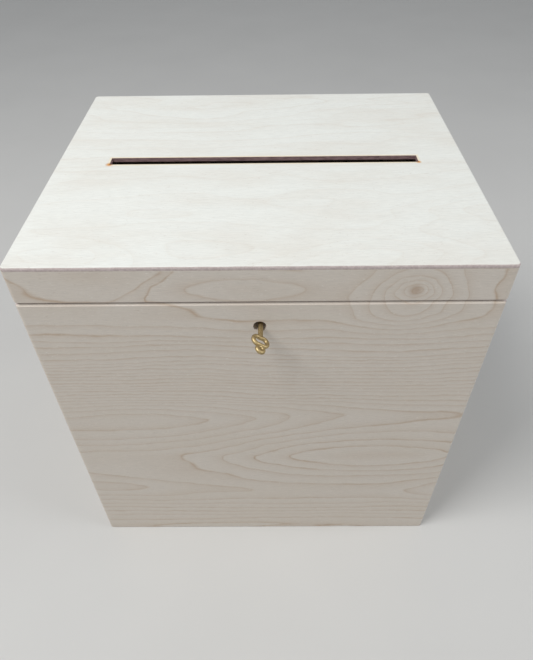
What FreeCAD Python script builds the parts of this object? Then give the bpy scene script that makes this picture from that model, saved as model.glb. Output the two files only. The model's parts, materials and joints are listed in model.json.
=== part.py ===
import FreeCAD, Part
import os

import Sketcher
from FreeCAD import Rotation, Vector

doc = FreeCAD.newDocument("donation_box")

# Driving sizes in millimetres. The box stands on z = 0, centred on x and y, with its front towards -y.
SIZES = {
    "box_width": 300,
    "box_depth": 253,
    "box_height": 286.8,
    "lid_gap": 0.8,
    "rail_height": 24.2,
    "top_thick": 3,
    "wall": 9,
    "lap": 4,
    "base_thick": 4,
    "base_seat": 4.5,
    "corner_round": 3,
    "top_round": 1.5,
    "rim_chamfer": 1.4,
    "foot_round": 1,
    "lid_edge_round": 1.2,
    "slot_length": 226,
    "slot_width": 10,
    "slot_x": 2,
    "slot_y": 1.7,
    "keyhole_d": 8.4,
    "keyhole_x": -0.5,
    "key_z": 267.6,
    "leaf_length": 34,
    "leaf_depth": 7.5,
    "leaf_thick": 1,
    "leaf_let_in": 0.7,
    "leaf_seat_gap": 0.1,
    "hinge_x": 85,
    "barrel_r": 2.2,
    "barrel_out": 2.5,
    "knuckle_gap": 0.2,
    "pin_r": 1,
    "pin_over": 0.4,
    "running_gap": 0.05,
    "hinge_screw_x": 10,
    "screw_r": 1.1,
    "screw_head_r": 2.1,
    "screw_head": 0.9,
    "screw_long": 7,
    "screw_point": 2,
    "screw_tip_r": 0.2,
    "screw_slot": 0.6,
    "screw_slot_deep": 0.5,
    "pilot_gap": 0.03,
    "pilot_spare": 0.2,
    "hole_gap": 0.05,
    "overrun": 1,
    "drill_long": 4,
    "case_half": 20,
    "flange_half": 28,
    "lock_low": 250.6,
    "lock_drop": 0.2,
    "sheet_metal": 1.2,
    "case_deep": 8,
    "lock_screw_x": 24,
    "lock_screw_low": 254.6,
    "lock_screw_high": 282.8,
    "bolt_in": 3.4,
    "bolt_thick": 2,
    "bolt_left": -18.3,
    "bolt_right": 12,
    "bolt_low": 2.2,
    "bolt_high": 8,
    "talon_x": -3.15,
    "talon_half": 1.8,
    "talon_high": 4.3,
    "bolt_throw": 6.3,
    "arm_wide": 2.5,
    "finger_short": 0.2,
    "spring_half": 7,
    "spring_foot": 3,
    "spring_ramp": 2,
    "spring_rise": 1.6,
    "spring_thick": 0.4,
    "spring_wide": 3,
    "spring_drop": 3.4,
    "rivet_r": 1.2,
    "guide_gap": 0.1,
    "rivet_x": 9,
    "rivet_z": 6,
    "rivet_head_r": 2,
    "rivet_head": 0.8,
    "finger_low": 14,
    "finger_tall": 2.6,
    "lug_wide": 8,
    "lug_left_x": -9.2,
    "lug_right_x": 9,
    "lug_low": 11.4,
    "lug_gap": 0.45,
    "hook_deep": 6.2,
    "finger_gap": 0.4,
    "strike_left": -22,
    "strike_long": 47,
    "strike_thick": 1.5,
    "strike_lift": 1.4,
    "strike_tall": 13.8,
    "strike_screw_x": -16,
    "strike_screw_far_x": 20,
    "strike_screw_z": 10,
    "shank_r": 1.6,
    "shank_out": 10.5,
    "bit_half": 0.75,
    "bit_reach": 3.8,
    "bit_start": 2.2,
    "bit_long": 4.6,
    "bit_gap": 0.3,
    "key_tip": 0.6,
    "plate_hole_r": 1.9,
    "key_rest_turn": -56,
    "bow_tube_r": 1.4,
    "lobe_r": 3.2,
    "lobe_half": 1.8,
    "notch_r": 2.5,
    "lobe_out": 13.4,
    "end_ring_r": 2.2,
    "end_tube_r": 1.35,
    "end_ring_out": 20.2,
}

sheet = doc.addObject("Spreadsheet::Sheet", "dims")
for row, (alias, value) in enumerate(SIZES.items(), 1):
    sheet.set(f"A{row}", alias)
    sheet.set(f"B{row}", str(value))
    sheet.setAlias(f"B{row}", alias)
doc.recompute()

LID_LOW = "(dims.box_height + dims.lid_gap)"
LID_TOP_LOW = f"({LID_LOW} + dims.rail_height)"
WALL_IN = "(dims.wall - dims.box_depth / 2)"
LOCK_TOP = "(dims.box_height - dims.lock_drop)"
HINGE_Y = "(dims.box_depth / 2 + dims.barrel_out)"
HINGE_Z = "(dims.box_height + dims.lid_gap / 2)"

CLOSE = 0.01
nodes = []


def size(alias):
    return float(sheet.get(alias))


def finished(piece, label):
    """Name a finished sub-part and keep it for the export."""
    piece.Label = label
    nodes.append(piece)
    return piece


def place(piece, x="0", y="0", z="0"):
    for axis, text in (("x", x), ("y", y), ("z", z)):
        piece.setExpression(f"Placement.Base.{axis}", text)


# Boards: sketches, pads, pockets, rounds and chamfers

def new_sketch(body, role, name, lift=None):
    sketch = body.newObject("Sketcher::SketchObject", name)
    plane = next(f for f in body.Origin.OriginFeatures if f.Role == role)
    sketch.AttachmentSupport = (plane, [""])
    sketch.MapMode = "FlatFace"
    if lift:
        sketch.setExpression("AttachmentOffset.Base.z", lift)
    return sketch


def bind(sketch, constraint, text):
    index = sketch.addConstraint(constraint)
    sketch.setExpression(f"Constraints[{index}]", text)


def add_rectangle(sketch, left, low, wide, tall):
    corners = [Vector(0, 0, 0), Vector(1, 0, 0), Vector(1, 1, 0), Vector(0, 1, 0)]
    ends = corners[1:] + corners[:1]
    lines = [sketch.addGeometry(Part.LineSegment(a, b), False) for a, b in zip(corners, ends)]
    for line, following in zip(lines, lines[1:] + lines[:1]):
        sketch.addConstraint(Sketcher.Constraint("Coincident", line, 2, following, 1))
    for turn, line in zip(("Horizontal", "Vertical", "Horizontal", "Vertical"), lines):
        sketch.addConstraint(Sketcher.Constraint(turn, line))
    bind(sketch, Sketcher.Constraint("DistanceX", -1, 1, lines[0], 1, 1.0), left)
    bind(sketch, Sketcher.Constraint("DistanceY", -1, 1, lines[0], 1, 1.0), low)
    bind(sketch, Sketcher.Constraint("DistanceX", lines[0], 1, lines[0], 2, 1.0), wide)
    bind(sketch, Sketcher.Constraint("DistanceY", lines[1], 1, lines[1], 2, 1.0), tall)


def add_outline(sketch, points):
    """A closed outline of straight lines through points given as expressions."""
    rough = [Vector(float(number), float(number * number), 0) for number in range(len(points))]
    ends = rough[1:] + rough[:1]
    lines = [sketch.addGeometry(Part.LineSegment(a, b), False) for a, b in zip(rough, ends)]
    for line, following in zip(lines, lines[1:] + lines[:1]):
        sketch.addConstraint(Sketcher.Constraint("Coincident", line, 2, following, 1))
    for line, (x, y) in zip(lines, points):
        bind(sketch, Sketcher.Constraint("DistanceX", -1, 1, line, 1, 1.0), x)
        bind(sketch, Sketcher.Constraint("DistanceY", -1, 1, line, 1, 1.0), y)


def add_circle(sketch, x, y, radius):
    circle = sketch.addGeometry(Part.Circle(Vector(1, 1, 0), Vector(0, 0, 1), 1), False)
    bind(sketch, Sketcher.Constraint("DistanceX", -1, 1, circle, 3, 1.0), x)
    bind(sketch, Sketcher.Constraint("DistanceY", -1, 1, circle, 3, 1.0), y)
    bind(sketch, Sketcher.Constraint("Radius", circle, 1.0), radius)


def pad(body, sketch, name, length):
    feature = body.newObject("PartDesign::Pad", name)
    feature.Profile = sketch
    feature.setExpression("Length", length)
    doc.recompute()
    return feature


def pocket(body, sketch, name, depth=None, up=False):
    """Cut a sketch out of a body, right through or to a depth, upwards or downwards."""
    before = body.Shape.Volume
    feature = body.newObject("PartDesign::Pocket", name)
    feature.Profile = sketch
    feature.Reversed = up
    if depth:
        feature.setExpression("Length", depth)
    else:
        feature.Type = "ThroughAll"
        feature.Midplane = True
    doc.recompute()
    if not body.Shape.Volume < before - CLOSE:
        raise RuntimeError(f"{name} in {body.Label} cuts nothing")
    return feature


def eased(body, name, kind, amount, chosen):
    """Round or chamfer the chosen edges; kind is Fillet or Chamfer."""
    tip = body.Tip
    names = [f"Edge{i}" for i, edge in enumerate(tip.Shape.Edges, 1) if chosen(edge)]
    feature = body.newObject("PartDesign::" + kind, name)
    feature.Base = (tip, names)
    feature.setExpression("Radius" if kind == "Fillet" else "Size", amount)
    doc.recompute()
    return feature


def upright_at(x, y):
    """Chooses upright edges that stand at plus or minus x and at y."""
    def chosen(edge):
        box = edge.BoundBox
        upright = box.XLength + box.YLength < CLOSE < box.ZLength
        return upright and abs(abs(box.Center.x) - x) < CLOSE and abs(box.Center.y - y) < CLOSE
    return chosen


def wide_board(label, height, easings):
    """A board across the box: outer face on y = 0, thickness towards +y, laps for the side boards."""
    body = doc.addObject("PartDesign::Body", label)
    outline = new_sketch(body, "XY_Plane", label + "_outline")
    add_rectangle(outline, "-dims.box_width / 2", "0", "dims.box_width", "dims.wall")
    pad(body, outline, label + "_board", height)
    laps = new_sketch(body, "XY_Plane", label + "_laps")
    deep = "dims.wall - dims.lap"
    add_rectangle(laps, "-dims.box_width / 2", "dims.lap", "dims.wall", deep)
    add_rectangle(laps, "dims.box_width / 2 - dims.wall", "dims.lap", "dims.wall", deep)
    pocket(body, laps, label + "_lap_cut")
    eased(body, label + "_corners", "Fillet", "dims.corner_round", upright_at(size("box_width") / 2, 0))
    return ease_outer_edges(body, label, easings, across=True)


def side_board(label, height, easings):
    """A side board: outer face on x = 0, thickness towards +x, its ends in the laps."""
    body = doc.addObject("PartDesign::Body", label)
    outline = new_sketch(body, "XY_Plane", label + "_outline")
    long = "dims.box_depth - 2 * dims.lap"
    add_rectangle(outline, "0", "dims.lap - dims.box_depth / 2", "dims.wall", long)
    pad(body, outline, label + "_board", height)
    return ease_outer_edges(body, label, easings, across=False)


def ease_outer_edges(body, label, easings, across):
    """Ease the outer top and bottom edges. easings holds the height along z, the kind and the size of each."""
    lap = size("lap")
    half = size("box_width") / 2

    def outer(edge, level):
        box = edge.BoundBox
        if box.ZLength > CLOSE or abs(box.ZMin - level) > CLOSE:
            return False
        if across:
            flush_end = box.XLength < CLOSE and abs(abs(box.XMin) - half) < CLOSE
            corner = box.XLength > CLOSE and box.YLength > CLOSE
            return box.YMax < CLOSE or flush_end or (corner and box.YMax < lap + CLOSE)
        return box.XMax < CLOSE

    for number, (level, kind, amount) in enumerate(easings):
        eased(body, f"{label}_ease{number}", kind, amount, lambda edge: outer(edge, level))
    return body


def base_seat(body, label, across):
    """The rebate in a wall's lower inner edge that takes the base panel."""
    seat = new_sketch(body, "XY_Plane", label + "_seat")
    if across:
        add_rectangle(seat, "-dims.box_width / 2", "dims.base_seat", "dims.box_width", "dims.base_seat")
    else:
        long = "dims.box_depth - 2 * dims.lap"
        add_rectangle(seat, "dims.base_seat", "dims.lap - dims.box_depth / 2", "dims.base_seat", long)
    pocket(body, seat, label + "_seat_cut", "dims.base_thick", up=True)


def pilot_holes(body, name, role, points, depth=None, lift=None, up=False):
    """Holes for the screws that go into a board."""
    holes = new_sketch(body, role, name, lift)
    for x, y in points:
        add_circle(holes, x, y, "dims.screw_r + dims.pilot_gap")
    pocket(body, holes, name + "_cut", depth, up)


HINGE_SIDES = (("left", "-dims.hinge_x"), ("right", "dims.hinge_x"))
HINGE_SCREWS = [f"{middle} {sign} dims.hinge_screw_x" for side, middle in HINGE_SIDES for sign in "+-"]
SCREW_LINE = "(dims.wall / 2)"
BODY_EASINGS = ((size("box_height"), "Chamfer", "dims.rim_chamfer"), (0, "Fillet", "dims.foot_round"))
RAIL_EASINGS = ((0, "Fillet", "dims.lid_edge_round"),)
SIGNS = ("-", "")
LOCK_SCREWS = [(f"{sign}dims.lock_screw_x", f"dims.lock_screw_{end}")
               for sign in SIGNS for end in ("low", "high")]
STRIKE_SCREWS = [(f"dims.{x}", "dims.strike_screw_z") for x in ("strike_screw_x", "strike_screw_far_x")]


def let_in_leaves(body, label, lift, up):
    """Shallow seats for the hinge leaves and the pilot holes below them."""
    seats = new_sketch(body, "XY_Plane", label + "_leaf_seats", lift)
    for side, middle in HINGE_SIDES:
        left = f"{middle} - dims.leaf_length / 2 - dims.leaf_seat_gap"
        long = "dims.leaf_length + 2 * dims.leaf_seat_gap"
        add_rectangle(seats, left, "0", long, "dims.leaf_depth + dims.leaf_seat_gap")
    pocket(body, seats, label + "_leaf_cut", "dims.leaf_let_in", up)
    points = [(x, SCREW_LINE) for x in HINGE_SCREWS]
    pilot_holes(body, label + "_pilots", "XY_Plane", points, "dims.screw_long + dims.overrun", lift, up)


# Box walls
front = wide_board("front_panel", "dims.box_height", BODY_EASINGS)
base_seat(front, "front_panel", across=True)
keyhole = new_sketch(front, "XZ_Plane", "keyhole")
add_circle(keyhole, "dims.keyhole_x", "dims.key_z", "dims.keyhole_d / 2")
pocket(front, keyhole, "keyhole_cut")
lock_depth = "dims.screw_long - dims.sheet_metal + dims.pilot_spare"
pilot_holes(front, "lock_pilots", "XZ_Plane", LOCK_SCREWS, lock_depth, "-dims.wall", up=True)
place(front, y="-dims.box_depth / 2")
finished(front, "front_panel")

back = wide_board("back_panel", "dims.box_height", BODY_EASINGS)
base_seat(back, "back_panel", across=True)
let_in_leaves(back, "back_panel", "dims.box_height", up=False)
back.Placement.Rotation = Rotation(Vector(0, 0, 1), 180)
place(back, y="dims.box_depth / 2")
finished(back, "back_panel")

for side, sign, turn in (("left", "-", 0), ("right", "", 180)):
    outer_x = f"{sign}dims.box_width / 2"
    wall = side_board(f"{side}_side_panel", "dims.box_height", BODY_EASINGS)
    base_seat(wall, f"{side}_side_panel", across=False)
    rail = side_board(f"lid_{side}_rail", "dims.rail_height", RAIL_EASINGS)
    for board, low in ((wall, "0"), (rail, LID_LOW)):
        board.Placement.Rotation = Rotation(Vector(0, 0, 1), turn)
        place(board, x=outer_x, z=low)
        finished(board, board.Name)

# Lid rails
front_rail = wide_board("lid_front_rail", "dims.rail_height", RAIL_EASINGS)
strike_depth = "dims.screw_long - dims.strike_thick + dims.pilot_spare"
pilot_holes(front_rail, "strike_pilots", "XZ_Plane", STRIKE_SCREWS, strike_depth, "-dims.wall", up=True)
place(front_rail, y="-dims.box_depth / 2", z=LID_LOW)
finished(front_rail, "lid_front_rail")

back_rail = wide_board("lid_back_rail", "dims.rail_height", RAIL_EASINGS)
let_in_leaves(back_rail, "lid_back_rail", None, up=True)
back_rail.Placement.Rotation = Rotation(Vector(0, 0, 1), 180)
place(back_rail, y="dims.box_depth / 2", z=LID_LOW)
finished(back_rail, "lid_back_rail")

# Base panel in the rebates of the four walls
base = doc.addObject("PartDesign::Body", "base_panel")
base_outline = new_sketch(base, "XY_Plane", "base_outline")
base_wide = "(dims.box_width - 2 * dims.base_seat)"
base_deep = "(dims.box_depth - 2 * dims.base_seat)"
add_rectangle(base_outline, f"-{base_wide} / 2", f"-{base_deep} / 2", base_wide, base_deep)
pad(base, base_outline, "base_board", "dims.base_thick")
place(base)
finished(base, "base_panel")

# Lid top: a sheet over the rails with the long slot through it
top = doc.addObject("PartDesign::Body", "lid_top_panel")
top_outline = new_sketch(top, "XY_Plane", "top_outline")
add_rectangle(top_outline, "-dims.box_width / 2", "-dims.box_depth / 2", "dims.box_width", "dims.box_depth")
pad(top, top_outline, "top_board", "dims.top_thick")
slot = new_sketch(top, "XY_Plane", "money_slot")
slot_left = "dims.slot_x - dims.slot_length / 2"
slot_low = "dims.slot_y - dims.slot_width / 2"
add_rectangle(slot, slot_left, slot_low, "dims.slot_length", "dims.slot_width")
pocket(top, slot, "money_slot_cut")
half_wide = size("box_width") / 2
half_deep = size("box_depth") / 2
eased(top, "top_corners", "Fillet", "dims.corner_round", lambda edge: any(
    upright_at(half_wide, y)(edge) for y in (-half_deep, half_deep)))


def top_rim(edge):
    """Chooses the outer edges of the upper face, not those of the slot."""
    box = edge.BoundBox
    level = box.ZLength < CLOSE and abs(box.ZMin - size("top_thick")) < CLOSE
    edge_x = half_wide - max(abs(box.XMin), abs(box.XMax))
    edge_y = half_deep - max(abs(box.YMin), abs(box.YMax))
    return level and min(edge_x, edge_y) < size("corner_round")


eased(top, "top_ease", "Fillet", "dims.top_round", top_rim)
place(top, z=LID_TOP_LOW)
finished(top, "lid_top_panel")


# Metal pieces: solids, unions and cuts
TURNS = {"x": Rotation(Vector(0, 1, 0), 90), "y": Rotation(Vector(1, 0, 0), -90), "z": Rotation()}


def block(name, x, y, z, wide, deep, tall):
    box = doc.addObject("Part::Box", name)
    for prop, text in (("Length", wide), ("Width", deep), ("Height", tall)):
        box.setExpression(prop, text)
    place(box, x, y, z)
    return box


def turned(axis, backwards):
    turn = TURNS[axis]
    return turn * Rotation(Vector(1, 0, 0), 180) if backwards else turn


def rod(name, x, y, z, radius, long, axis, backwards=False):
    cylinder = doc.addObject("Part::Cylinder", name)
    cylinder.setExpression("Radius", radius)
    cylinder.setExpression("Height", long)
    cylinder.Placement.Rotation = turned(axis, backwards)
    place(cylinder, x, y, z)
    return cylinder


def taper(name, x, y, z, start_radius, end_radius, long, axis, backwards=False):
    cone = doc.addObject("Part::Cone", name)
    for prop, text in (("Radius1", start_radius), ("Radius2", end_radius), ("Height", long)):
        cone.setExpression(prop, text)
    cone.Placement.Rotation = turned(axis, backwards)
    place(cone, x, y, z)
    return cone


def joined(name, pieces):
    union = doc.addObject("Part::MultiFuse", name)
    union.Shapes = pieces
    return union


def carved(name, stock, tools):
    cut = doc.addObject("Part::Cut", name)
    cut.Base = stock
    cut.Tool = tools[0] if len(tools) == 1 else joined(name + "_tools", tools)
    return cut


def grouped(name, pieces):
    group = doc.addObject("Part::Compound", name)
    group.Links = pieces
    return group


def wood_screw(name, x, y, z, axis, backwards=False):
    """A countersunk slotted screw: head face at the point, shank along the axis or against it."""
    sign = "-" if backwards else "+"

    def along(distance):
        ends = {"x": x, "y": y, "z": z}
        ends[axis] = f"{ends[axis]} {sign} ({distance})"
        return ends["x"], ends["y"], ends["z"]

    head = taper(name + "_head", x, y, z, "dims.screw_head_r", "dims.screw_r", "dims.screw_head",
                 axis, backwards)
    shank_long = "(dims.screw_long - dims.screw_head - dims.screw_point)"
    shank = rod(name + "_shank", *along("dims.screw_head"), "dims.screw_r", shank_long, axis, backwards)
    tip = taper(name + "_tip", *along("dims.screw_long - dims.screw_point"), "dims.screw_r", "dims.screw_tip_r",
                "dims.screw_point", axis, backwards)
    wide = "(2 * dims.screw_head_r + dims.overrun)"
    thin = "dims.screw_slot"
    deep = "(2 * dims.screw_slot_deep)"
    left = f"{x} - {wide} / 2"
    if axis == "z":
        cutter = block(name + "_slot", left, f"{y} - {thin} / 2", f"{z} - {deep} / 2", wide, thin, deep)
    else:
        cutter = block(name + "_slot", left, f"{y} - {deep} / 2", f"{z} - {thin} / 2", wide, deep, thin)
    return carved(name, joined(name + "_solid", [head, shank, tip]), [cutter])


def screw_seat(name, x, y, z, axis, backwards=False):
    """The countersunk hole that such a screw needs in sheet metal."""
    head = taper(name, x, y, z, "dims.screw_head_r + dims.hole_gap", "dims.screw_r + dims.hole_gap",
                 "dims.screw_head", axis, backwards)
    hole = rod(name + "_hole", x, y, z, "dims.screw_r + dims.hole_gap", "dims.screw_head + dims.overrun",
               axis, backwards)
    return [head, hole]


# Butt hinges on the back rim
SCREW_Y = "(dims.box_depth / 2 - dims.wall / 2)"
BOX_LEAF_Z = "(dims.box_height - dims.leaf_let_in)"
LID_LEAF_Z = f"({LID_LOW} + dims.leaf_let_in - dims.leaf_thick)"
BOX_HEAD_Z = f"({BOX_LEAF_Z} + dims.leaf_thick)"
KNUCKLE = "((dims.leaf_length - 2 * dims.knuckle_gap) / 3)"


def hinge_leaf(label, middle, low, knuckles, screw_z, backwards):
    """A leaf with its knuckles. knuckles counts thirds of the leaf from its left end."""
    left = f"({middle} - dims.leaf_length / 2)"
    back_face = "(dims.box_depth / 2)"
    pieces = [block(label + "_plate", left, f"{back_face} - dims.leaf_depth", low,
                    "dims.leaf_length", "dims.leaf_depth", "dims.leaf_thick")]
    for third in knuckles:
        start = f"({left} + {third} * ({KNUCKLE} + dims.knuckle_gap))"
        pieces.append(block(f"{label}_tongue{third}", start, f"{back_face} - dims.overrun", low,
                            KNUCKLE, "dims.barrel_out + dims.overrun", "dims.leaf_thick"))
        pieces.append(rod(f"{label}_knuckle{third}", start, HINGE_Y, HINGE_Z, "dims.barrel_r", KNUCKLE, "x"))
    tools = [rod(label + "_bore", f"{left} - dims.overrun", HINGE_Y, HINGE_Z, "dims.pin_r + dims.running_gap",
                 "dims.leaf_length + 2 * dims.overrun", "x")]
    for number, sign in enumerate("+-"):
        x = f"({middle} {sign} dims.hinge_screw_x)"
        tools += screw_seat(f"{label}_seat{number}", x, SCREW_Y, screw_z, "z", backwards)
    return finished(carved(label + "_leaf", joined(label + "_stock", pieces), tools), label)


for side, middle in HINGE_SIDES:
    hinge_leaf(f"{side}_hinge_box_leaf", middle, BOX_LEAF_Z, (0, 2), BOX_HEAD_Z, backwards=True)
    hinge_leaf(f"{side}_hinge_lid_leaf", middle, LID_LEAF_Z, (1,), LID_LEAF_Z, backwards=False)
    start = f"{middle} - dims.leaf_length / 2 - dims.pin_over"
    pin = rod(f"{side}_hinge_pin", start, HINGE_Y, HINGE_Z, "dims.pin_r",
              "dims.leaf_length + 2 * dims.pin_over", "x")
    finished(pin, f"{side}_hinge_pin")

box_screws = [wood_screw(f"box_leaf_screw{n}", f"({x})", SCREW_Y, BOX_HEAD_Z, "z", backwards=True)
              for n, x in enumerate(HINGE_SCREWS)]
finished(grouped("box_leaf_screws", box_screws), "hinge_box_screws")
lid_screws = [wood_screw(f"lid_leaf_screw{n}", f"({x})", SCREW_Y, LID_LEAF_Z, "z")
              for n, x in enumerate(HINGE_SCREWS)]
finished(grouped("lid_leaf_screws", lid_screws), "hinge_lid_screws")


# Box lock on the inner face of the front panel
def lock_block(name, x, y, z, wide, deep, tall):
    """A block placed by its depth behind the front panel and its height over the keyhole."""
    return block(name, x, f"{WALL_IN} + {y}", f"dims.key_z + {z}", wide, deep, tall)


LOCK_TALL = f"({LOCK_TOP} - dims.lock_low)"
INNER_HALF = "(dims.case_half - dims.sheet_metal)"
PLATE_FACE = f"({WALL_IN} + dims.sheet_metal)"
CAP_LOW = f"({WALL_IN} + dims.case_deep)"
RIVETS = ("-dims.rivet_x", "dims.rivet_x")
RIVET_Z = "(dims.key_z + dims.rivet_z)"
LUGS = ("dims.lug_left_x", "dims.lug_right_x")
BOLT_CUT_IN = "dims.bolt_in - dims.overrun"
BOLT_CUT_DEEP = "dims.bolt_thick + 2 * dims.overrun"

plate = block("lock_plate", "-dims.flange_half", WALL_IN, "dims.lock_low",
              "2 * dims.flange_half", "dims.sheet_metal", LOCK_TALL)
case = block("lock_box", "-dims.case_half", WALL_IN, "dims.lock_low",
             "2 * dims.case_half", "dims.case_deep", LOCK_TALL)
hollow = block("lock_hollow", f"-{INNER_HALF}", PLATE_FACE, "dims.lock_low + dims.sheet_metal",
               f"2 * {INNER_HALF}", "dims.case_deep", f"{LOCK_TALL} - 2 * dims.sheet_metal")
lock_tools = [hollow]
for number, x in enumerate(LUGS):
    lug_slot_y = f"{WALL_IN} + dims.bolt_in - dims.lug_gap"
    lock_tools.append(block(f"lug_slot{number}", f"{x} - dims.lug_gap", lug_slot_y,
                            f"{LOCK_TOP} - 2 * dims.sheet_metal", "dims.lug_wide + 2 * dims.lug_gap",
                            "dims.bolt_thick + 2 * dims.lug_gap", "4 * dims.sheet_metal"))
lock_tools.append(rod("plate_keyhole", "0", f"{WALL_IN} - dims.overrun", "dims.key_z", "dims.plate_hole_r",
                      "dims.drill_long", "y"))
lock_tools.append(lock_block("plate_bit_slot", "-dims.bit_half - dims.bit_gap", "-dims.overrun",
                             "-dims.bit_reach - dims.bit_gap", "2 * (dims.bit_half + dims.bit_gap)",
                             "dims.drill_long", "dims.bit_reach"))
for number, x in enumerate(RIVETS):
    lock_tools.append(rod(f"plate_rivet_hole{number}", x, f"{WALL_IN} - dims.overrun", RIVET_Z,
                          "dims.rivet_r + dims.hole_gap", "dims.drill_long", "y"))
for number, (x, z) in enumerate(LOCK_SCREWS):
    lock_tools += screw_seat(f"plate_seat{number}", x, PLATE_FACE, z, "y", backwards=True)
finished(carved("lock_shell", joined("lock_stock", [plate, case]), lock_tools), "lock_case")

cap_stock = block("cap_sheet", "-dims.case_half", CAP_LOW, "dims.lock_low",
                  "2 * dims.case_half", "dims.sheet_metal", LOCK_TALL)
cap_tools = [rod("cap_pivot", "0", f"{CAP_LOW} - dims.overrun", "dims.key_z",
                 "dims.shank_r + dims.running_gap", "dims.drill_long", "y")]
for number, x in enumerate(RIVETS):
    cap_tools.append(rod(f"cap_rivet_hole{number}", x, f"{CAP_LOW} - dims.overrun", RIVET_Z,
                         "dims.rivet_r + dims.hole_gap", "dims.drill_long", "y"))
finished(carved("cap_plate", cap_stock, cap_tools), "lock_cap")

rivets = []
for number, x in enumerate(RIVETS):
    stem = rod(f"rivet_stem{number}", x, WALL_IN, RIVET_Z, "dims.rivet_r",
               "dims.case_deep + dims.sheet_metal", "y")
    head = taper(f"rivet_head{number}", x, f"{CAP_LOW} + dims.sheet_metal", RIVET_Z,
                 "dims.rivet_head_r", "dims.rivet_r", "dims.rivet_head", "y")
    rivets.append(joined(f"rivet{number}", [stem, head]))
finished(grouped("rivet_pair", rivets), "lock_rivets")

lock_screws = [wood_screw(f"lock_screw{n}", f"({x})", PLATE_FACE, f"({z})", "y", backwards=True)
               for n, (x, z) in enumerate(LOCK_SCREWS)]
finished(grouped("lock_screw_set", lock_screws), "lock_screws")

# Sliding bolt: a bar with a talon notch for the key, two guide slots and two hooked fingers
bolt_stock = [lock_block("bolt_bar", "dims.bolt_left", "dims.bolt_in", "dims.bolt_low",
                         "dims.bolt_right - dims.bolt_left", "dims.bolt_thick",
                         "dims.bolt_high - dims.bolt_low")]
arm_tall = "dims.finger_low + dims.finger_tall - dims.bolt_high + dims.overrun"
finger_long = "dims.arm_wide + dims.bolt_throw - dims.finger_short"
for number, x in enumerate(LUGS):
    arm_x = f"({x} - dims.bolt_throw - dims.finger_gap - dims.arm_wide)"
    bolt_stock.append(lock_block(f"bolt_arm{number}", arm_x, "dims.bolt_in", "dims.bolt_high - dims.overrun",
                                 "dims.arm_wide", "dims.bolt_thick", arm_tall))
    bolt_stock.append(lock_block(f"bolt_finger{number}", arm_x, "dims.bolt_in", "dims.finger_low",
                                 finger_long, "dims.bolt_thick", "dims.finger_tall"))
talon_tall = "dims.talon_high - dims.bolt_low + dims.overrun"
bolt_tools = [lock_block("talon", "dims.talon_x - dims.talon_half", BOLT_CUT_IN,
                         "dims.bolt_low - dims.overrun", "2 * dims.talon_half", BOLT_CUT_DEEP, talon_tall)]
guide_r = "(dims.rivet_r + dims.guide_gap)"
for number, x in enumerate(RIVETS):
    for end, end_x in (("right", x), ("left", f"{x} - dims.bolt_throw")):
        bolt_tools.append(rod(f"guide_{end}{number}", end_x, f"{WALL_IN} + {BOLT_CUT_IN}", RIVET_Z,
                              guide_r, BOLT_CUT_DEEP, "y"))
    bolt_tools.append(lock_block(f"guide_run{number}", f"{x} - dims.bolt_throw", BOLT_CUT_IN,
                                 f"dims.rivet_z - {guide_r}", "dims.bolt_throw", BOLT_CUT_DEEP,
                                 f"2 * {guide_r}"))
finished(carved("bolt_plate", joined("bolt_stock", bolt_stock), bolt_tools), "lock_bolt")

# Bolt spring: a bent strip between the plate and the bolt
spring = doc.addObject("PartDesign::Body", "bolt_spring")
strip = new_sketch(spring, "XY_Plane", "spring_strip")
foot_end = "(dims.spring_half - dims.spring_foot)"
crown_end = f"({foot_end} - dims.spring_ramp)"
under = [("-dims.spring_half", "0"), (f"-{foot_end}", "0"), (f"-{crown_end}", "dims.spring_rise"),
         (crown_end, "dims.spring_rise"), (foot_end, "0"), ("dims.spring_half", "0")]
outline = under + [(x, f"{y} + dims.spring_thick") for x, y in reversed(under)]
add_outline(strip, outline)
pad(spring, strip, "spring_pad", "dims.spring_wide")
place(spring, y=f"{PLATE_FACE} + dims.hole_gap", z="dims.key_z + dims.bolt_high - dims.spring_drop")
finished(spring, "lock_bolt_spring")

# Strike on the lid: a plate on the rail with two hooked lugs that drop into the lock
STRIKE_Z = f"({LID_LOW} + dims.strike_lift)"
STRIKE_FACE = f"({WALL_IN} + dims.strike_thick)"
strike_stock = [block("strike_plate", "dims.strike_left", WALL_IN, STRIKE_Z, "dims.strike_long",
                      "dims.strike_thick", "dims.strike_tall")]
strike_tools = []
drop_tall = f"{STRIKE_Z} + dims.strike_thick - dims.key_z - dims.lug_low"
for number, x in enumerate(LUGS):
    strike_stock.append(block(f"lug_step{number}", x, WALL_IN, STRIKE_Z, "dims.lug_wide",
                              "dims.bolt_in + dims.bolt_thick", "dims.strike_thick"))
    strike_stock.append(lock_block(f"lug_drop{number}", x, "dims.bolt_in", "dims.lug_low",
                                   "dims.lug_wide", "dims.bolt_thick", drop_tall))
    strike_tools.append(lock_block(f"hook{number}", f"{x} - dims.overrun", BOLT_CUT_IN,
                                   "dims.finger_low - dims.finger_gap", "dims.hook_deep + dims.overrun",
                                   BOLT_CUT_DEEP, "dims.finger_tall + 2 * dims.finger_gap"))
strike_spots = [(f"({x})", STRIKE_FACE, f"({LID_LOW} + {z})") for x, z in STRIKE_SCREWS]
for number, spot in enumerate(strike_spots):
    strike_tools += screw_seat(f"strike_seat{number}", *spot, "y", backwards=True)
finished(carved("strike_body", joined("strike_stock", strike_stock), strike_tools), "lid_strike")
strike_screws = [wood_screw(f"strike_screw{n}", *spot, "y", backwards=True)
                 for n, spot in enumerate(strike_spots)]
finished(grouped("strike_screw_pair", strike_screws), "strike_screws")

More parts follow.
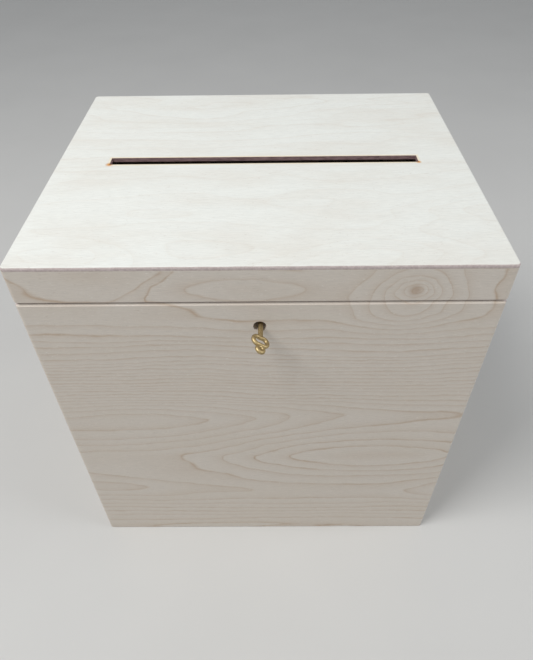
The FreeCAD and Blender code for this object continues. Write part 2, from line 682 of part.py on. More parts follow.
# Key: shank and bit with a three-lobed bow; drawn with the bit upright, then turned to its rest
FRONT = "(-dims.box_depth / 2)"
shank_start = f"({FRONT} - dims.shank_out)"
shank_end = f"{CAP_LOW} + dims.sheet_metal + dims.key_tip"
shank = rod("key_shank", "0", shank_start, "0", "dims.shank_r", f"{shank_end} - {shank_start}", "y")
bit = block("key_bit", "-dims.bit_half", f"{WALL_IN} + dims.bit_start", "0",
            "2 * dims.bit_half", "dims.bit_long", "dims.bit_reach")
end_ring = doc.addObject("Part::Torus", "bow_end_ring")
end_ring.setExpression("Radius1", "dims.end_ring_r")
end_ring.setExpression("Radius2", "dims.end_tube_r")
end_ring.Placement.Rotation = TURNS["x"]
place(end_ring, y=f"{FRONT} - dims.end_ring_out")


def bow_line():
    """The middle line of the bow: two round lobes, a dip at the shank and a straight outer bar."""
    lobe_r = size("lobe_r")
    half = size("lobe_half")
    notch_r = size("notch_r")
    lobe_y = -size("box_depth") / 2 - size("lobe_out")
    rise = ((lobe_r + notch_r) ** 2 - half ** 2) ** 0.5
    share = lobe_r / (lobe_r + notch_r)
    touch = Vector(0, lobe_y + rise * share, half * (1 - share))
    dip = Vector(0, lobe_y + rise - notch_r, 0)
    outer = Vector(0, lobe_y - lobe_r, half)
    tip = Vector(0, lobe_y, half + lobe_r)

    def flip(point):
        return Vector(point.x, point.y, -point.z)

    edges = [
        Part.Arc(flip(touch), dip, touch).toShape(),
        Part.Arc(touch, tip, outer).toShape(),
        Part.LineSegment(outer, flip(outer)).toShape(),
        Part.Arc(flip(outer), flip(tip), flip(touch)).toShape(),
    ]
    return edges


def round_bar(edge):
    """A round bar of the bow's thickness along one edge of its middle line."""
    start = edge.valueAt(edge.FirstParameter)
    along = edge.tangentAt(edge.FirstParameter)
    section = Part.Wire(Part.makeCircle(size("bow_tube_r"), start, along))
    return Part.Wire(edge).makePipeShell([section], True, False)


bars = [round_bar(edge) for edge in bow_line()]
bow = doc.addObject("Part::Feature", "bow_lobes")
bow.Shape = bars[0].fuse(bars[1:]).removeSplitter()
key = joined("key_casting", [shank, bit, end_ring, bow])
key.Placement.Rotation = Rotation(Vector(0, 1, 0), size("key_rest_turn"))
key.setExpression("Placement.Base.z", "dims.key_z")
finished(key, "key")

# Check every object, then write one file for each sub-part
doc.recompute()
for item in doc.Objects:
    if "Invalid" in item.State or "Error" in item.State:
        raise RuntimeError(f"{item.Name} is in state {item.State}")
os.makedirs("parts", exist_ok=True)
for node in nodes:
    if node.Shape.isNull() or not node.Shape.isValid():
        raise RuntimeError(f"{node.Label} has no sound shape")
    node.Shape.exportStep(f"parts/{node.Label}.step")
    print(node.Label, len(node.Shape.Solids), round(node.Shape.Volume, 1))
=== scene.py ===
import json
import math
from collections import namedtuple

import bpy
from mathutils import Matrix, Vector


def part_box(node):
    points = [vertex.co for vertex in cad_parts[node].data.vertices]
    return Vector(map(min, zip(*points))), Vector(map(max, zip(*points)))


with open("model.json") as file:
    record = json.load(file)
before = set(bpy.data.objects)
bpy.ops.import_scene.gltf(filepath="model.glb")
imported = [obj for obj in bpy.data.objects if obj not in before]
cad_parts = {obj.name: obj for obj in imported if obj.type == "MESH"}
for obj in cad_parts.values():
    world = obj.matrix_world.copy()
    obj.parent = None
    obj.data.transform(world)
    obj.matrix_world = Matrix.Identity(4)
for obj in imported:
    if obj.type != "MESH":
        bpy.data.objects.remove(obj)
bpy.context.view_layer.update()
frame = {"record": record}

MM = 0.001
X, Y, Z = 0, 1, 2


def extent(node, axis):
    """A CAD node's size along one axis."""
    low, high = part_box(node)
    return high[axis] - low[axis]


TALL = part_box("lid_top_panel")[1][Z]
HALF_WIDE = extent("lid_top_panel", X) / 2
HALF_DEEP = extent("lid_top_panel", Y) / 2
WALL_THICK = extent("front_panel", Y)
BASE_THICK = extent("base_panel", Z)
SHEET_THICK = extent("lid_top_panel", Z)


# Node wiring

MIX_FIRST, MIX_SECOND, MIX_RESULT = 6, 7, 2


def shade(red, green, blue):
    """A colour as the eye reads it, 0 to 255, turned into scene light."""
    def light(value):
        value = value / 255
        return value / 12.92 if value <= 0.04045 else ((value + 0.055) / 1.055) ** 2.4
    return (light(red), light(green), light(blue), 1.0)


def fill(tree, socket, value):
    """Link a socket to another one, or give it a plain value."""
    if isinstance(value, bpy.types.NodeSocket):
        tree.links.new(value, socket)
    else:
        socket.default_value = value


def wire(tree, kind, inputs, **settings):
    """Add a node, set its options and fill its inputs with values or links."""
    node = tree.nodes.new(kind)
    for name, value in settings.items():
        setattr(node, name, value)
    for name, value in inputs.items():
        fill(tree, node.inputs[name], value)
    return node


def calc(tree, operation, first, second=0.0, third=0.0, clamp=False):
    inputs = {0: first, 1: second, 2: third}
    return wire(tree, "ShaderNodeMath", inputs, operation=operation, use_clamp=clamp).outputs[0]


def vector_calc(tree, operation, first, second=(0.0, 0.0, 0.0)):
    node = wire(tree, "ShaderNodeVectorMath", {0: first, 1: second}, operation=operation)
    return node.outputs["Value" if operation in ("DOT_PRODUCT", "DISTANCE") else "Vector"]


def split(tree, vector):
    return wire(tree, "ShaderNodeSeparateXYZ", {0: vector}).outputs


def join(tree, x, y, z):
    return wire(tree, "ShaderNodeCombineXYZ", {X: x, Y: y, Z: z}).outputs[0]


def ease(tree, value, low, high, out_low=0.0, out_high=1.0):
    """A smooth step of a value: two limits, and what comes out at each of them."""
    inputs = {"Value": value, "From Min": low, "From Max": high, "To Min": out_low, "To Max": out_high}
    return wire(tree, "ShaderNodeMapRange", inputs, interpolation_type="SMOOTHSTEP").outputs["Result"]


def blend(tree, amount, first, second, kind="MIX"):
    """Two colours mixed by an amount."""
    inputs = {"Factor": amount, MIX_FIRST: first, MIX_SECOND: second}
    return wire(tree, "ShaderNodeMix", inputs, data_type="RGBA", blend_type=kind).outputs[MIX_RESULT]


# The step that spreads the middle values of a noise over its whole range
MIDDLE_STEP = (0.3, 0.7)


def noise(tree, point, stretch, detail=2.0, rough=0.5, shift=(0.0, 0.0, 0.0)):
    """Noise over a point in metres; stretch counts its waves per metre along each axis."""
    inputs = {"Vector": point, "Location": shift, "Scale": stretch}
    place = wire(tree, "ShaderNodeMapping", inputs).outputs[0]
    inputs = {"Vector": place, "Scale": 1.0, "Detail": detail, "Roughness": rough}
    return wire(tree, "ShaderNodeTexNoise", inputs).outputs["Fac"]


def swing(tree, point, reach, **settings):
    """Noise that swings evenly to both sides of zero."""
    return calc(tree, "MULTIPLY", calc(tree, "SUBTRACT", noise(tree, point, **settings), 0.5), reach)


def new_group(name, inputs, outputs):
    """A node group with named sockets; gives the tree, its inlets and a function that closes it."""
    tree = bpy.data.node_groups.new(name, "ShaderNodeTree")
    for label, kind, value in inputs:
        socket = tree.interface.new_socket(label, in_out="INPUT", socket_type="NodeSocket" + kind)
        socket.default_value = value
    for label, kind in outputs:
        tree.interface.new_socket(label, in_out="OUTPUT", socket_type="NodeSocket" + kind)
    inlet = tree.nodes.new("NodeGroupInput")
    outlet = tree.nodes.new("NodeGroupOutput")

    def close(**results):
        for label, socket in results.items():
            tree.links.new(socket, outlet.inputs[label])
    return tree, inlet.outputs, close


def use(tree, group, **inputs):
    """Place a group in a tree and fill its inputs."""
    node = tree.nodes.new("ShaderNodeGroup")
    node.node_tree = group
    for label, value in inputs.items():
        fill(tree, node.inputs[label], value)
    return node.outputs


def new_material(name):
    """A material with its tree, its shader and the place on the piece."""
    material = bpy.data.materials.new(name)
    material.use_nodes = True
    tree = material.node_tree
    place = wire(tree, "ShaderNodeTexCoord", {}).outputs["Object"]
    return material, tree, tree.nodes["Principled BSDF"], place


# Growth rings: a smooth height over the board, whose level lines are the rings

POINT = ("Point", "Vector", (0, 0, 0))
HEIGHT = ("Height", "Float")


def make_swell():
    """One swelling or hollow in the ring height: a hill round a centre, leaning along the grain."""
    tree, inlet, close = new_group("ring swell", [
        POINT, ("Centre", "Vector", (0, 0, 0)), ("Reach", "Vector", (1, 1, 1)), ("Lean", "Float", 0.0),
        ("Ridge", "Float", 1.0), ("Peak", "Float", 1.0), ("Rings", "Float", 1.0)], [HEIGHT])
    away = split(tree, vector_calc(tree, "SUBTRACT", inlet["Point"], inlet["Centre"]))
    across = calc(tree, "SUBTRACT", away[Y], calc(tree, "MULTIPLY", away[X], inlet["Lean"]))
    across = calc(tree, "POWER", calc(tree, "ABSOLUTE", across), inlet["Ridge"])
    share = vector_calc(tree, "DIVIDE", join(tree, away[X], across, 0.0), inlet["Reach"])
    square = vector_calc(tree, "DOT_PRODUCT", share, share)
    fall = calc(tree, "MULTIPLY", calc(tree, "POWER", square, inlet["Peak"]), -1.0)
    close(Height=calc(tree, "MULTIPLY", calc(tree, "EXPONENT", fall), inlet["Rings"]))
    return tree


SWELL = make_swell()

# A swell's centre and reach in mm and its height in rings; a peak below 1 is pointed, a ridge below 1 sharp
Swell = namedtuple("Swell", "along up reach_along reach_up rings lean peak ridge", defaults=(0.0, 1.0, 1.0))
FRONT_SWELLS = {
    "lid eye": Swell(-8, 299, 42, 8, rings=1.2),
    "lid eye ring": Swell(-8, 288, 58, 25, rings=1.3, lean=-0.1),
    "left eye": Swell(-104, 310, 46, 20, rings=1.4),
    "between the eyes": Swell(-68, 299, 22, 6, rings=-0.8, lean=0.79),
    "knot": Swell(92.5, 296.4, 20, 15, rings=7.5, peak=0.5),
    "below the knot": Swell(86, 276.5, 26, 12, rings=1.6),
    "flame": Swell(-125, 167, 165, 32, rings=-4.6, lean=0.05, peak=1.3, ridge=0.8),
    "lens": Swell(84, 122, 110, 28, rings=3.9, peak=1.3, ridge=0.8),
    "low flame": Swell(-170, 78.5, 165, 20, rings=-2.4, lean=-0.06, peak=1.2, ridge=0.75),
    "low corner": Swell(165, 68, 44, 16, rings=-2.4, ridge=0.75),
}
TOP_SWELLS = {
    "front flame": Swell(40, -140, 70, 34, rings=4.0, lean=0.25),
    "left tongue": Swell(-110, -118, 60, 20, rings=2.6, lean=-0.1),
    "right tongue": Swell(150, -70, 60, 30, rings=-2.5, lean=0.2),
    "back flame": Swell(-60, 90, 150, 40, rings=3.0, lean=0.05),
}


def swells_over(tree, point, swells, start):
    """The ring height of a board: a start and all its swells on top."""
    height = start
    for swell in swells.values():
        rise = use(tree, SWELL, Point=point, Centre=(swell.along * MM, swell.up * MM, 0), Lean=swell.lean,
                   Reach=(swell.reach_along * MM, (swell.reach_up * MM) ** swell.ridge, 1),
                   Ridge=swell.ridge, Peak=swell.peak, Rings=swell.rings)["Height"]
        height = calc(tree, "ADD", height, rise)
    return height


SLOW_WAVES = {"stretch": (9.0, 42.0, 9.0), "detail": 1.0}


def wavering(tree, point, rings):
    """The slow waves of real rings along the grain, in rings."""
    return swing(tree, point, rings, **SLOW_WAVES)


SHAKE_UP = {"stretch": (75.0, 150.0, 75.0), "shift": (3.0, 7.0, 1.0)}
SHAKE_UP_REACH = 3 * MM
SHAKE_ALONG = {"stretch": (60.0, 60.0, 60.0), "detail": 1.0, "shift": (6.0, 1.0, 2.0)}
SHAKE_ALONG_REACH = 9 * MM


def shaken(tree, point):
    """A place moved a little up and along, for the fine shake of the ring lines."""
    along = swing(tree, point, SHAKE_ALONG_REACH, **SHAKE_ALONG)
    up = swing(tree, point, SHAKE_UP_REACH, **SHAKE_UP)
    return vector_calc(tree, "ADD", point, join(tree, along, up, 0.0))


# The front's straight rings above its flame, unevenly spaced and wavy, and those at its foot
STRAIGHT_STEP = (181 * MM, 289 * MM, 0.0, 18.4)
UNEVEN = {"stretch": (2.5, 70.0, 1.0), "detail": 1.0, "shift": (4.0, 1.0, 0.0)}
UNEVEN_REACH = 11 * MM
WAVES = {"stretch": (8.0, 9.0, 1.0), "detail": 1.0, "shift": (2.0, 5.0, 0.0)}
WAVES_REACH = 12 * MM
FOOT_STEP = (63 * MM, 0.0, 0.0, 6.0)
FRONT_WAVERING = 1.2


def make_front_height():
    tree, inlet, close = new_group("front ring height", [POINT], [HEIGHT])
    point = inlet["Point"]
    up = split(tree, point)[Y]
    raised = calc(tree, "MULTIPLY_ADD", noise(tree, point, **UNEVEN), UNEVEN_REACH, up)
    raised = calc(tree, "MULTIPLY_ADD", noise(tree, point, **WAVES), WAVES_REACH, raised)
    straight = ease(tree, raised, *STRAIGHT_STEP)
    foot = ease(tree, up, *FOOT_STEP)
    height = swells_over(tree, point, FRONT_SWELLS, calc(tree, "ADD", straight, foot))
    close(Height=calc(tree, "ADD", height, wavering(tree, point, FRONT_WAVERING)))
    return tree


TOP_RINGS_PER_M = 38.0
TOP_WAVERING = 2.4


def make_top_height():
    tree, inlet, close = new_group("top ring height", [POINT], [HEIGHT])
    point = inlet["Point"]
    slope = calc(tree, "MULTIPLY", split(tree, point)[Y], TOP_RINGS_PER_M)
    height = swells_over(tree, point, TOP_SWELLS, slope)
    close(Height=calc(tree, "ADD", height, wavering(tree, point, TOP_WAVERING)))
    return tree


PLAIN_RINGS_PER_M = 60.0
PLAIN_FLAMES = {"stretch": (4.5, 17.0, 1.0), "detail": 1.0, "rough": 0.4}
PLAIN_FLAME_RINGS = 26.0
PLAIN_WAVERING = 1.5


def make_plain_height():
    """The figure of the other boards: long flames from slow noise."""
    tree, inlet, close = new_group("plain ring height", [POINT], [HEIGHT])
    point = inlet["Point"]
    slope = calc(tree, "MULTIPLY", split(tree, point)[Y], PLAIN_RINGS_PER_M)
    height = calc(tree, "MULTIPLY_ADD", noise(tree, point, **PLAIN_FLAMES), PLAIN_FLAME_RINGS, slope)
    close(Height=calc(tree, "ADD", height, wavering(tree, point, PLAIN_WAVERING)))
    return tree


# The rise in mm over which the slope is taken, and a least slope in rings per mm
SLOPE_RISE = 0.4
LEAST_SLOPE = 0.035


def make_rings(name, height_group):
    """Distance in mm to the nearest ring line, its boldness, the growth within a ring, and rings per mm."""
    tree, inlet, close = new_group(name, [POINT], [
        ("Distance", "Float"), ("Bold", "Float"), ("Growth", "Float"), ("Steep", "Float")])
    point = shaken(tree, inlet["Point"])
    higher = vector_calc(tree, "ADD", point, (0, SLOPE_RISE * MM, 0))
    here = use(tree, height_group, Point=point)["Height"]
    there = use(tree, height_group, Point=higher)["Height"]
    slope = calc(tree, "DIVIDE", calc(tree, "SUBTRACT", there, here), SLOPE_RISE)
    steep = calc(tree, "SQRT", calc(tree, "MULTIPLY_ADD", slope, slope, LEAST_SLOPE ** 2))
    growth = calc(tree, "FRACT", here)
    near = calc(tree, "MINIMUM", growth, calc(tree, "SUBTRACT", 1.0, growth))
    distance = calc(tree, "DIVIDE", near, steep)
    chance = wire(tree, "ShaderNodeTexWhiteNoise", {"W": calc(tree, "ROUND", here)}, noise_dimensions="1D")
    close(Distance=distance, Bold=chance.outputs["Value"], Growth=growth, Steep=steep)
    return tree


FRONT_RINGS = make_rings("front rings", make_front_height())
TOP_RINGS = make_rings("top rings", make_top_height())
PLAIN_RINGS = make_rings("plain rings", make_plain_height())


# Sanded veneer

PALE_VENEER = shade(217, 209, 199)
RING_TAN = shade(188, 163, 137)
FIBRE = {"stretch": (160.0, 2600.0, 160.0), "detail": 3.0, "rough": 0.6}
FIBRE_LIGHT, FIBRE_LIGHT_SPREAD = 0.83, 0.34
FIBRE_ROUGH, FIBRE_ROUGH_SPREAD = 0.55, 0.2
CLOUD = {"stretch": (14.0, 40.0, 14.0), "detail": 3.0, "rough": 0.55, "shift": (5.0, 2.0, 0.0)}
CLOUD_STEP = (0.35, 0.75, 0.0, 0.25)
CLOUD_TAN = shade(212, 201, 186)
FLECK = {"stretch": (420.0, 1900.0, 420.0), "detail": 1.0, "shift": (1.0, 9.0, 4.0)}
PALE_FLECK_STEP = (0.68, 0.78, 0.0, 0.55)
PALE_FLECK = shade(244, 243, 238)
DARK_FLECK_STEP = (0.30, 0.24, 0.0, 0.30)
DARK_FLECK = shade(164, 140, 116)
LATE_WOOD_POWER = 3.0
LATE_WOOD_DARK = 0.3

# Ring lines, their widths in mm: narrower and fainter where rings crowd, which is counted in rings per mm
STRENGTH = {"stretch": (60.0, 130.0, 60.0), "shift": (8.0, 3.0, 6.0)}
STRENGTH_STEP = (0.25, 0.7, 0.35, 1.0)
CROWD_STEP = (0.05, 0.19)
LINE_WIDTH, LINE_WIDTH_SPREAD, CROWD_NARROWS = 0.4, 0.8, 0.3
BOLD_LEAST, BOLD_SPREAD, CROWD_FADES = 0.45, 0.8, 0.5
LINE_DARK = 0.66
LINE_GROOVE = 0.5


def ring_line(tree, inlet, strength):
    """How strongly a ring's line shows: most on its middle, and 0 beside it."""
    crowd = ease(tree, inlet["Steep"], *CROWD_STEP)
    narrow = calc(tree, "MULTIPLY_ADD", crowd, -CROWD_NARROWS, LINE_WIDTH)
    width = calc(tree, "MULTIPLY_ADD", strength, LINE_WIDTH_SPREAD, narrow)
    share = calc(tree, "DIVIDE", inlet["Distance"], width)
    line = calc(tree, "EXPONENT", calc(tree, "MULTIPLY", calc(tree, "MULTIPLY", share, share), -1.0))
    line = calc(tree, "MULTIPLY", line, ease(tree, strength, *STRENGTH_STEP))
    line = calc(tree, "MULTIPLY", line, calc(tree, "MULTIPLY_ADD", crowd, -CROWD_FADES, 1.0))
    return calc(tree, "MULTIPLY", line, calc(tree, "MULTIPLY_ADD", inlet["Bold"], BOLD_SPREAD, BOLD_LEAST))


def make_veneer():
    """Colour, roughness and relief of a sanded veneer from its rings and its fibre."""
    tree, inlet, close = new_group("sanded veneer", [
        POINT, ("Distance", "Float", 5.0), ("Bold", "Float", 0.5), ("Growth", "Float", 0.5),
        ("Steep", "Float", 0.1), ("Figure", "Float", 1.0), ("Pale", "Color", PALE_VENEER),
        ("Ring", "Color", RING_TAN)], [("Color", "Color"), ("Roughness", "Float"), HEIGHT])
    point = inlet["Point"]
    fibre = noise(tree, point, **FIBRE)
    cloud = noise(tree, point, **CLOUD)
    fleck = noise(tree, point, **FLECK)
    line = ring_line(tree, inlet, noise(tree, point, **STRENGTH))
    late = calc(tree, "POWER", inlet["Growth"], LATE_WOOD_POWER)
    dark = calc(tree, "MULTIPLY_ADD", late, LATE_WOOD_DARK, calc(tree, "MULTIPLY", line, LINE_DARK))
    dark = calc(tree, "MULTIPLY", dark, inlet["Figure"], clamp=True)
    colour = blend(tree, dark, inlet["Pale"], inlet["Ring"])
    streak = calc(tree, "MULTIPLY_ADD", fibre, FIBRE_LIGHT_SPREAD, FIBRE_LIGHT)
    colour = blend(tree, 1.0, colour, join(tree, streak, streak, streak), "MULTIPLY")
    colour = blend(tree, ease(tree, cloud, *CLOUD_STEP), colour, CLOUD_TAN)
    colour = blend(tree, ease(tree, fleck, *PALE_FLECK_STEP), colour, PALE_FLECK)
    colour = blend(tree, ease(tree, fleck, *DARK_FLECK_STEP), colour, DARK_FLECK)
    rough = calc(tree, "MULTIPLY_ADD", fibre, FIBRE_ROUGH_SPREAD, FIBRE_ROUGH)
    height = calc(tree, "SUBTRACT", fibre, calc(tree, "MULTIPLY", line, LINE_GROOVE))
    close(Color=colour, Roughness=rough, Height=height)
    return tree


VENEER = make_veneer()


# Sawn edges of plywood, in mm

PLY_SHAKE = {"stretch": (90.0, 90.0, 90.0)}
PLY_SHAKE_REACH = 0.35
GLUE_STEP = (0.13, 0.04)


def make_plies():
    """Where inner plies show on a sawn edge, which of them lie crosswise, and the glue lines between."""
    tree, inlet, close = new_group("ply edge", [
        ("Depth", "Float", 0.0), ("Ply", "Float", 1.3), ("Plies", "Float", 7.0), POINT],
        [("Edge", "Float"), ("Cross", "Float"), ("Glue", "Float")])
    shake = swing(tree, inlet["Point"], PLY_SHAKE_REACH, **PLY_SHAKE)
    count = calc(tree, "DIVIDE", calc(tree, "ADD", inlet["Depth"], shake), inlet["Ply"])
    part = calc(tree, "FRACT", count)
    past_first = calc(tree, "GREATER_THAN", count, 1.0)
    before_last = calc(tree, "LESS_THAN", count, calc(tree, "SUBTRACT", inlet["Plies"], 1.0))
    inner = calc(tree, "MULTIPLY", past_first, before_last)
    cross = calc(tree, "MULTIPLY", calc(tree, "PINGPONG", calc(tree, "FLOOR", count), 1.0), inner)
    near = calc(tree, "MINIMUM", part, calc(tree, "SUBTRACT", 1.0, part))
    glue = ease(tree, calc(tree, "MULTIPLY", near, inlet["Ply"]), *GLUE_STEP)
    close(Edge=inner, Cross=cross, Glue=calc(tree, "MULTIPLY", glue, inner))
    return tree


PLIES = make_plies()
GRIT = {"stretch": (700.0, 700.0, 700.0), "rough": 0.6}
END_GRAIN_DARK, END_GRAIN_LIGHT = shade(188, 174, 172), shade(206, 193, 190)
LONG_GRAIN_DARK, LONG_GRAIN_LIGHT = shade(214, 201, 180), shade(232, 221, 203)
GLUE_BROWN = shade(133, 112, 94)
GLUE_STRENGTH = 0.6


def sawn_edge(tree, place, plies):
    """The colour of a sawn edge from its plies."""
    grit = ease(tree, noise(tree, place, **GRIT), *MIDDLE_STEP)
    end_grain = blend(tree, grit, END_GRAIN_DARK, END_GRAIN_LIGHT)
    long_grain = blend(tree, grit, LONG_GRAIN_DARK, LONG_GRAIN_LIGHT)
    edge = blend(tree, plies["Cross"], long_grain, end_grain)
    return blend(tree, calc(tree, "MULTIPLY", plies["Glue"], GLUE_STRENGTH), edge, GLUE_BROWN)


# Marks on the wood: the knot's small brown heart on the lid's front
KNOT_MIDDLE = {X: FRONT_SWELLS["knot"].along * MM, Z: FRONT_SWELLS["knot"].up * MM}
KNOT_STEP = (6.5 * MM, 0.5 * MM, 0.0, 0.5)
KNOT_BROWN = shade(166, 132, 100)


def knot_heart(tree, place, colour):
    parts = split(tree, place)
    along, up = [calc(tree, "SUBTRACT", parts[axis], middle) for axis, middle in KNOT_MIDDLE.items()]
    far = calc(tree, "SQRT", calc(tree, "MULTIPLY_ADD", along, along, calc(tree, "MULTIPLY", up, up)))
    return blend(tree, ease(tree, far, *KNOT_STEP), colour, KNOT_BROWN)


# The slot in the lid: charred walls, an amber edge and scorch marks in the front corners; steps are in mm
OPENINGS = {opening["name"]: opening["box_m"] for opening in frame["record"]["physics"]["openings"]}
SLOT_LOW, SLOT_HIGH = OPENINGS["donation_slot"]
SLOT_MARGIN = 1 * MM
SLOT_MIDDLE = [(SLOT_LOW[axis] + SLOT_HIGH[axis]) / 2 for axis in (X, Y)]
SLOT_HALF = [(SLOT_HIGH[axis] - SLOT_LOW[axis]) / 2 + SLOT_MARGIN for axis in (X, Y)]
PATCHES = {"stretch": (180.0, 180.0, 900.0)}
AMBER_STEP = (2.4, 0.1, 0.0, 0.6)
AMBER = shade(244, 224, 182)
LEFT, RIGHT = -1, 1
SCORCH_STEPS = {LEFT: (4.6, 0.8), RIGHT: (3.4, 0.8)}
SCORCH_RAGGED = 1.6
SCORCH_BROWN = shade(206, 140, 62)
CHAR_STEP = (0.08, 0.02)
CHAR_DARK, CHAR_LIGHT = shade(134, 109, 110), shade(168, 140, 141)


def scorched_slot(tree, place, colour):
    parts = split(tree, place)
    gaps = []
    for axis in (X, Y):
        off = calc(tree, "ABSOLUTE", calc(tree, "SUBTRACT", parts[axis], SLOT_MIDDLE[axis]))
        gaps.append(calc(tree, "SUBTRACT", off, SLOT_HALF[axis]))
    gap = calc(tree, "DIVIDE", calc(tree, "MAXIMUM", *gaps), MM)
    patchy = noise(tree, place, **PATCHES)
    colour = blend(tree, ease(tree, gap, *AMBER_STEP), colour, AMBER)
    for side, step in SCORCH_STEPS.items():
        corner = (SLOT_MIDDLE[X] + side * SLOT_HALF[X], SLOT_MIDDLE[Y] - SLOT_HALF[Y], TALL)
        far = calc(tree, "DIVIDE", vector_calc(tree, "DISTANCE", place, corner), MM)
        ragged = calc(tree, "MULTIPLY_ADD", patchy, SCORCH_RAGGED, far)
        colour = blend(tree, ease(tree, ragged, *step), colour, SCORCH_BROWN)
    char = blend(tree, ease(tree, patchy, *MIDDLE_STEP), CHAR_DARK, CHAR_LIGHT)
    return blend(tree, ease(tree, gap, *CHAR_STEP), colour, char)


# Plywood boards: the axes along the grain, across it and through the board
GRAIN_AXES = {"front": (X, Z, Y), "side": (Y, Z, X), "top": (X, Y, Z)}
WOOD_SHEEN = 0.25
FIBRE_RELIEF, FIBRE_RELIEF_STRENGTH = 0.15 * MM, 0.25


def plywood(name, lie, rings, outer, ply, count, shift=(0, 0, 0), figure=1.0, pale=PALE_VENEER, mark=None):
    """A plywood board: veneers on its two faces, plies on its edges; depth counts from its outer face."""
    material, tree, shader, place = new_material(name)
    parts = split(tree, place)
    along, across, through = (parts[axis] for axis in GRAIN_AXES[lie])
    point = vector_calc(tree, "ADD", join(tree, along, across, through), shift)
    ring = use(tree, rings, Point=point)
    veneer = use(tree, VENEER, Point=point, Distance=ring["Distance"], Bold=ring["Bold"],
                 Growth=ring["Growth"], Steep=ring["Steep"], Figure=figure, Pale=pale)
    off = calc(tree, "ABSOLUTE", calc(tree, "SUBTRACT", through, outer))
    plies = use(tree, PLIES, Depth=calc(tree, "DIVIDE", off, MM), Ply=ply, Plies=float(count), Point=place)
    colour = blend(tree, plies["Edge"], veneer["Color"], sawn_edge(tree, place, plies))
    if mark:
        colour = mark(tree, place, colour)
    tree.links.new(colour, shader.inputs["Base Color"])
    tree.links.new(veneer["Roughness"], shader.inputs["Roughness"])
    shader.inputs["Specular IOR Level"].default_value = WOOD_SHEEN
    relief = {"Height": veneer["Height"], "Strength": FIBRE_RELIEF_STRENGTH, "Distance": FIBRE_RELIEF}
    tree.links.new(wire(tree, "ShaderNodeBump", relief).outputs[0], shader.inputs["Normal"])
    return material


# Plies in mm: seven alike in the walls, three in the base, and thin faces on a thick core in the lid sheet
WALL_PLIES = 7
BASE_PLIES = 3
WALL_PLY = WALL_THICK / MM / WALL_PLIES
BASE_PLY = BASE_THICK / MM / BASE_PLIES
SHEET_FACE = 0.4
SHEET_CORE = 2.3
SHEET_UNDER = 0.1
SHEET_OFFSET = SHEET_CORE - SHEET_FACE
SHEET_PLIES = 1 + (SHEET_THICK / MM - SHEET_UNDER + SHEET_OFFSET) / SHEET_CORE
# Painted light: the lid sheet's own pale tone, made paler and cooler to copy the glare on its brightly lit
# top
SHEET_PALE_AND_PAINTED_GLARE = shade(232, 234, 229)

front_wood = plywood("front plywood", "front", FRONT_RINGS, -HALF_DEEP, WALL_PLY, WALL_PLIES,
                     figure=0.85, mark=knot_heart)
back_wood = plywood("back plywood", "front", PLAIN_RINGS, HALF_DEEP, WALL_PLY, WALL_PLIES,
                    shift=(1.7, 0.4, 0.2))
left_wood = plywood("left plywood", "side", PLAIN_RINGS, -HALF_WIDE, WALL_PLY, WALL_PLIES,
                    shift=(3.1, 1.2, 0.5))
right_wood = plywood("right plywood", "side", PLAIN_RINGS, HALF_WIDE, WALL_PLY, WALL_PLIES,
                     shift=(5.6, 2.3, 0.9))
# figure=0.16 fades the top's rings: painted light, standing in for the washed-out look of the brightly lit
# top
top_wood = plywood("lid sheet plywood", "top", TOP_RINGS, TALL + SHEET_OFFSET * MM, SHEET_CORE, SHEET_PLIES,
                   figure=0.16, pale=SHEET_PALE_AND_PAINTED_GLARE, mark=scorched_slot)
base_wood = plywood("base plywood", "top", PLAIN_RINGS, 0.0, BASE_PLY, BASE_PLIES,
                    shift=(7.3, 3.3, 0.1))


# Metals

PATCH = {"stretch": (300.0, 300.0, 300.0), "detail": 4.0, "rough": 0.6}
TARNISH_STEP = (0.38, 0.68, 0.0, 0.5)
SCRATCH = {"stretch": (2700.0, 2700.0, 2700.0)}
SCRATCH_SHARE = 0.3
METAL_RELIEF, METAL_RELIEF_STRENGTH = 0.05 * MM, 0.2


def metal(name, bright, dull, rough, metallic=1.0):
    """A worn metal: bright where it is rubbed, dull in patches, with fine scratches."""
    material, tree, shader, place = new_material(name)
    patch = noise(tree, place, **PATCH)
    scratch = noise(tree, place, **SCRATCH)
    tarnish = ease(tree, patch, *TARNISH_STEP)
    tree.links.new(blend(tree, tarnish, bright, dull), shader.inputs["Base Color"])
    worn = calc(tree, "MULTIPLY", patch, 1 - SCRATCH_SHARE)
    worn = calc(tree, "MULTIPLY_ADD", scratch, SCRATCH_SHARE, worn)
    tree.links.new(ease(tree, worn, *MIDDLE_STEP, *rough), shader.inputs["Roughness"])
    shader.inputs["Metallic"].default_value = metallic
    relief = {"Height": worn, "Strength": METAL_RELIEF_STRENGTH, "Distance": METAL_RELIEF}
    tree.links.new(wire(tree, "ShaderNodeBump", relief).outputs[0], shader.inputs["Normal"])
    return material


key_brass = metal("dull key brass", shade(180, 161, 120), shade(122, 104, 72),
                  rough=(0.4, 0.56), metallic=0.95)
hinge_brass = metal("hinge brass", shade(214, 184, 120), shade(150, 122, 76), rough=(0.22, 0.45))
lock_steel = metal("lock steel", shade(196, 194, 188), shade(140, 136, 128), rough=(0.28, 0.5))


# Dressing: every wooden node has its board, and the rest go by their material slot

WOOD_OF = {
    "front_panel": front_wood, "lid_front_rail": front_wood,
    "back_panel": back_wood, "lid_back_rail": back_wood,
    "left_side_panel": left_wood, "lid_left_rail": left_wood,
    "right_side_panel": right_wood, "lid_right_rail": right_wood,
    "lid_top_panel": top_wood, "base_panel": base_wood,
}
METAL_OF_SLOT = {"hinge_brass": hinge_brass, "lock_steel": lock_steel, "key_brass": key_brass}


def dress(node, material):
    piece = bpy.data.objects[node]
    piece.data.materials.clear()
    piece.data.materials.append(material)


for part in frame["record"]["subparts"]:
    dress(part["node"], WOOD_OF.get(part["node"]) or METAL_OF_SLOT[part["material_slot"]])


# Floor and light

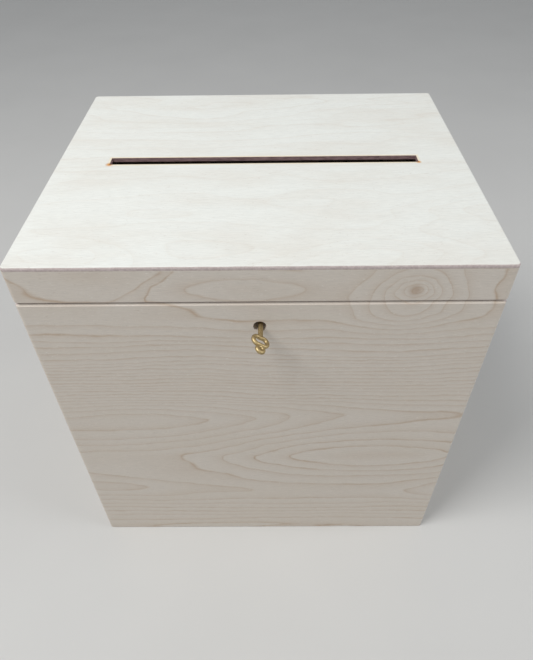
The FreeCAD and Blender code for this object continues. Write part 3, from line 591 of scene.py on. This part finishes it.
FLOOR_SIZE = 12.0
MOTTLE = {"stretch": (6.0, 6.0, 6.0)}
FLOOR_DARK, FLOOR_LIGHT = shade(205, 205, 203), shade(212, 212, 210)
FLOOR_ROUGH = 0.9
ROOM_LIGHT = (0.93, 0.96, 1.0, 1.0)
ROOM_STRENGTH = 0.33
PALE_BACKDROP = (0.86, 0.86, 0.86, 1.0)


def make_floor():
    bpy.ops.object.select_all(action="DESELECT")
    bpy.ops.mesh.primitive_plane_add(size=FLOOR_SIZE, location=(0, 0, 0))
    floor = bpy.context.active_object
    floor.name = "floor"
    material, tree, shader, place = new_material("pale floor")
    mottle = noise(tree, place, **MOTTLE)
    tree.links.new(blend(tree, mottle, FLOOR_DARK, FLOOR_LIGHT), shader.inputs["Base Color"])
    shader.inputs["Roughness"].default_value = FLOOR_ROUGH
    floor.data.materials.append(material)


def light_room():
    """A dim even room for the light, and a pale backdrop for the camera and for reflections."""
    world = bpy.data.worlds.new("soft room")
    bpy.context.scene.world = world
    world.use_nodes = True
    tree = world.node_tree
    room = tree.nodes["Background"]
    room.inputs["Color"].default_value = ROOM_LIGHT
    room.inputs["Strength"].default_value = ROOM_STRENGTH
    pale = wire(tree, "ShaderNodeBackground", {"Color": PALE_BACKDROP, "Strength": 1.0})
    ray = wire(tree, "ShaderNodeLightPath", {}).outputs
    seen = calc(tree, "MAXIMUM", ray["Is Camera Ray"], ray["Is Glossy Ray"])
    mixed = wire(tree, "ShaderNodeMixShader", {0: seen, 1: room.outputs[0], 2: pale.outputs[0]})
    tree.links.new(mixed.outputs[0], tree.nodes["World Output"].inputs["Surface"])


def area_light(name, place, aim, size, power, colour):
    lamp = bpy.data.lights.new(name, "AREA")
    lamp.size = size
    lamp.energy = power
    lamp.color = colour
    holder = bpy.data.objects.new(name, lamp)
    bpy.context.scene.collection.objects.link(holder)
    holder.location = place
    holder.rotation_euler = (Vector(aim) - Vector(place)).to_track_quat("-Z", "Y").to_euler()


# Camera: its turns in degrees, and its focal length and the picture's height in pixels

CAMERA_PLACE = (6.556 * MM, -378.234 * MM, 507.738 * MM)
CAMERA_DOWN = 44.032
CAMERA_YAW = -0.653
CAMERA_ROLL = -0.845
FOCAL_PIXELS = 552.391
IMAGE_TALL = 660
SENSOR_MM = 36.0
NEAREST = 10 * MM


def make_camera():
    lens = bpy.data.cameras.new("photo camera")
    lens.sensor_width = SENSOR_MM
    lens.lens = SENSOR_MM * FOCAL_PIXELS / IMAGE_TALL
    lens.clip_start = NEAREST
    camera = bpy.data.objects.new("photo camera", lens)
    bpy.context.scene.collection.objects.link(camera)
    turn = Matrix.Rotation(math.radians(-CAMERA_YAW), 4, "Z")
    turn = turn @ Matrix.Rotation(math.radians(90 - CAMERA_DOWN), 4, "X")
    turn = turn @ Matrix.Rotation(math.radians(CAMERA_ROLL), 4, "Z")
    camera.matrix_world = Matrix.Translation(CAMERA_PLACE) @ turn
    bpy.context.scene.camera = camera


make_floor()
light_room()
area_light("window", place=(-0.75, -0.5, 1.6), aim=(0, 0, 0.25), size=0.7, power=18.6,
           colour=(1.0, 0.985, 0.97))
area_light("right fill", place=(1.4, -0.3, 0.9), aim=(0, 0, 0.2), size=0.8, power=7.0,
           colour=(0.98, 0.99, 1.0))
make_camera()
bpy.context.scene.view_settings.view_transform = "Standard"
